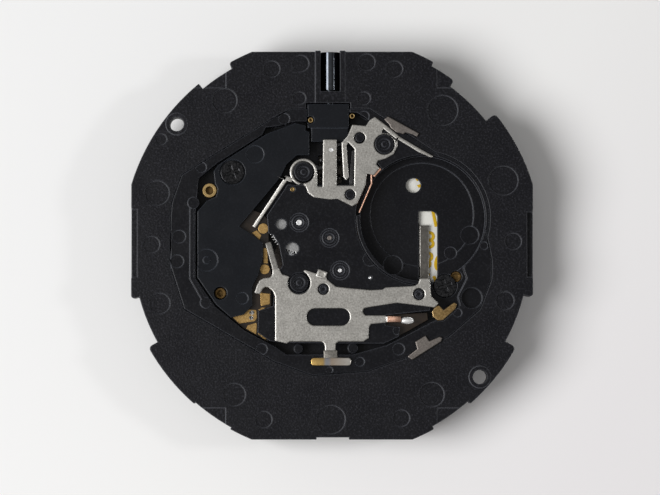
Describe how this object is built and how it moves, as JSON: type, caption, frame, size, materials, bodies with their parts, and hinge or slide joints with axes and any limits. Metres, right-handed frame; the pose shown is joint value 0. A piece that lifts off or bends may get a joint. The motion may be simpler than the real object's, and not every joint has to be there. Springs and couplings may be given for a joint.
{
  "type": "quartz watch movement",
  "caption": "Quartz watch movement with date disc, held in a black plastic casing ring; open battery well, nickel spring plates, gear train, setting stem and pipes for three hands.",
  "frame": {"origin": "the hands' axis where it meets the plane that the dial rests on", "axes": "+Z from the dial side to the movement's back, along the hands' axis; +Y along the stem, outwards; +X completes a right-handed frame"},
  "size_m": [0.031, 0.03, 0.005],
  "materials": {
    "ring_plastic": "grained black plastic",
    "plate_plastic": "fine black plastic",
    "cover_plastic": "smooth black plastic",
    "nickel": "warm nickel plate",
    "copper": "bare copper",
    "gold": "gold plate",
    "brass": "turned brass",
    "steel": "polished steel",
    "dark_steel": "blackened steel",
    "board": "brown circuit board",
    "chip": "black moulding compound",
    "copper_wire": "enamelled wire",
    "soft_iron": "annealed iron",
    "white_print": "white lacquer with yellow print",
    "white_gear": "moulded white plastic"
  },
  "bodies": {
    "movement": {"casing_ring": "ring_plastic", "main_plate": "plate_plastic", "train_bridge": "plate_plastic", "circuit_cover": "cover_plastic", "stem_block": "cover_plastic", "upper_spring_plate": "nickel", "lower_spring_plate": "nickel", "side_contact": "copper", "earth_contact": "gold", "ring_hooks": "nickel", "cover_screw": "dark_steel", "well_screw": "dark_steel", "brass_bushes": "brass", "guide_pin": "steel", "circuit_board": "board", "contact_pads": "gold", "integrated_circuit": "chip", "quartz_crystal": "steel", "stator": "soft_iron", "coil_core": "soft_iron", "coil_winding": "copper_wire", "coil_lead_board": "board", "date_jumper": "steel", "calendar_cover": "nickel", "calendar_screws": "steel"},
    "rotor": {"rotor_magnet": "dark_steel", "rotor_pinion": "steel"},
    "fifth": {"fifth_wheel": "steel", "fifth_pinion": "steel"},
    "fourth": {"fourth_wheel": "brass", "seconds_arbor": "steel"},
    "third": {"third_wheel": "brass", "third_pinion": "steel"},
    "centre": {"centre_wheel": "brass", "cannon_pinion": "steel"},
    "minute": {"minute_wheel": "steel"},
    "hour": {"hour_wheel": "brass"},
    "setting": {"setting_wheel": "steel"},
    "date_transfer": {"intermediate_date_wheel": "steel"},
    "date_drive": {"date_driving_wheel": "white_gear", "date_finger": "steel"},
    "date": {"date_disc": "white_print"},
    "clutch": {"clutch_wheel": "steel"},
    "stem_body": {"stem": "steel"},
    "setting_lever_body": {"setting_lever": "steel"},
    "yoke_body": {"yoke": "steel"},
    "reset_lever_body": {"reset_lever": "steel"}
  },
  "joints": [
    {"name": "fourth_wheel_turn", "type": "hinge", "parent": "movement", "child": "fourth", "pos_m": [0, 0, 0], "axis": [0, 0, 1], "continuous": true},
    {"name": "rotor_turn", "type": "hinge", "parent": "movement", "child": "rotor", "pos_m": [-0.003, -0.00136, 0], "axis": [0, 0, 1], "continuous": true},
    {"name": "fifth_wheel_turn", "type": "hinge", "parent": "movement", "child": "fifth", "pos_m": [-0.00234, 0.00119, 0], "axis": [0, 0, 1], "continuous": true},
    {"name": "third_wheel_turn", "type": "hinge", "parent": "movement", "child": "third", "pos_m": [0.00081, -0.00251, 0], "axis": [0, 0, 1], "continuous": true},
    {"name": "centre_wheel_turn", "type": "hinge", "parent": "movement", "child": "centre", "pos_m": [0, 0, 0], "axis": [0, 0, 1], "continuous": true},
    {"name": "minute_wheel_turn", "type": "hinge", "parent": "movement", "child": "minute", "pos_m": [-0.00194, 0.00142, 0], "axis": [0, 0, 1], "continuous": true},
    {"name": "hour_wheel_turn", "type": "hinge", "parent": "movement", "child": "hour", "pos_m": [0, 0, 0], "axis": [0, 0, 1], "continuous": true},
    {"name": "setting_wheel_turn", "type": "hinge", "parent": "movement", "child": "setting", "pos_m": [0, 0.0033, 0], "axis": [0, 0, 1], "continuous": true},
    {"name": "intermediate_date_wheel_turn", "type": "hinge", "parent": "movement", "child": "date_transfer", "pos_m": [-0.00275, -0.00193, 0], "axis": [0, 0, 1], "continuous": true},
    {"name": "date_driving_wheel_turn", "type": "hinge", "parent": "movement", "child": "date_drive", "pos_m": [-0.00282, -0.00391, 0], "axis": [0, 0, 1], "continuous": true},
    {"name": "date_disc_turn", "type": "hinge", "parent": "movement", "child": "date", "pos_m": [0, 0, 0], "axis": [0, 0, 1], "continuous": true},
    {"name": "stem_turn", "type": "hinge", "parent": "movement", "child": "clutch", "pos_m": [0.00006, 0.005, 0.0013], "axis": [0, 1, 0], "continuous": true},
    {"name": "stem_pull", "type": "slide", "parent": "clutch", "child": "stem_body", "axis": [0, 1, 0], "range_m": [0, 0.001]},
    {"name": "setting_lever_turn", "type": "hinge", "parent": "movement", "child": "setting_lever_body", "pos_m": [0.00233, 0.00772, 0], "axis": [0, 0, 1], "range_deg": [-30.5, 0.1]},
    {"name": "yoke_turn", "type": "hinge", "parent": "movement", "child": "yoke_body", "pos_m": [-0.00201, 0.00507, 0], "axis": [0, 0, 1], "range_deg": [-11.7, 0.05]},
    {"name": "reset_lever_turn", "type": "hinge", "parent": "movement", "child": "reset_lever_body", "pos_m": [0.00158, 0.00334, 0], "axis": [0, 0, 1], "range_deg": [-0.05, 4.7]}
  ],
  "couplings": [
    {"joint": "rotor_turn", "follows": "fourth_wheel_turn", "ratio": 30},
    {"joint": "fifth_wheel_turn", "follows": "fourth_wheel_turn", "ratio": -3.75},
    {"joint": "third_wheel_turn", "follows": "fourth_wheel_turn", "ratio": -0.16667},
    {"joint": "centre_wheel_turn", "follows": "fourth_wheel_turn", "ratio": 0.016667},
    {"joint": "minute_wheel_turn", "follows": "fourth_wheel_turn", "ratio": -0.0055556},
    {"joint": "hour_wheel_turn", "follows": "fourth_wheel_turn", "ratio": 0.0013889},
    {"joint": "setting_wheel_turn", "follows": "fourth_wheel_turn", "ratio": 0.011111},
    {"joint": "intermediate_date_wheel_turn", "follows": "fourth_wheel_turn", "ratio": -0.0018519},
    {"joint": "date_driving_wheel_turn", "follows": "fourth_wheel_turn", "ratio": 0.00069444},
    {"joint": "setting_lever_turn", "follows": "stem_pull", "rad_per_m": -529.8},
    {"joint": "yoke_turn", "follows": "stem_pull", "rad_per_m": -203.5},
    {"joint": "reset_lever_turn", "follows": "stem_pull", "rad_per_m": 81}
  ]
}
